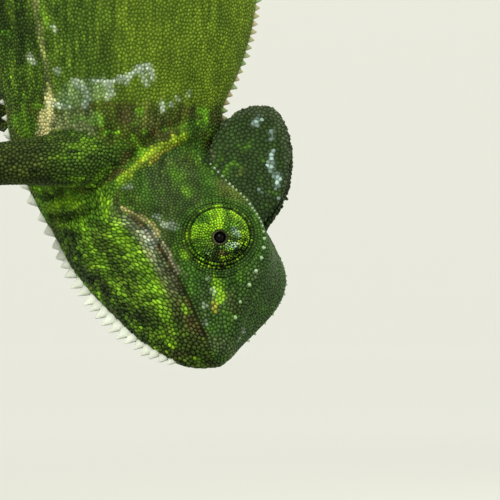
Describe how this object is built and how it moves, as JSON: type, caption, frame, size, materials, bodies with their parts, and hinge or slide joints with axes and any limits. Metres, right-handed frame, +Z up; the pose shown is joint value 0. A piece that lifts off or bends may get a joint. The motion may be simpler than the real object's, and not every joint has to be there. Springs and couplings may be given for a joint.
{
  "type": "chameleon museum model",
  "caption": "Life-size chameleon climbing head-down on a short upright branch, held on a flat display stand.",
  "frame": {"origin": "centre of the display base's underside", "axes": "+Z up the perch; the animal's back faces +X, its right side -Y, its head hangs towards -Z"},
  "size_m": [0.112, 0.088, 0.234],
  "materials": {
    "skin": "small solid scales, lime and dark green with pale crest cones",
    "flap": "large flat scales, dark green with bluish-white spots",
    "eye": "wet black",
    "bark": "dry bark",
    "base": "dark stained, satin",
    "rod": "satin"
  },
  "bodies": {
    "root": {"cranium": "skin", "lower_jaw": "skin", "neck": "skin", "chest": "skin", "abdomen": "skin", "pelvis": "skin", "right_eye_turret": "skin", "left_eye_turret": "skin", "right_upper_arm": "skin", "right_forearm": "skin", "right_forefoot": "skin", "right_thigh": "skin", "right_shank": "skin", "right_hindfoot": "skin", "left_upper_arm": "skin", "left_forearm": "skin", "left_forefoot": "skin", "left_thigh": "skin", "left_shank": "skin", "left_hindfoot": "skin", "tail_1": "skin", "tail_2": "skin", "tail_3": "skin", "tail_4": "skin", "tail_5": "skin", "right_neck_flap": "flap", "left_neck_flap": "flap", "right_eye": "eye", "left_eye": "eye", "perch": "bark", "stand_base": "base", "stand_rod": "rod"}
  },
  "joints": []
}
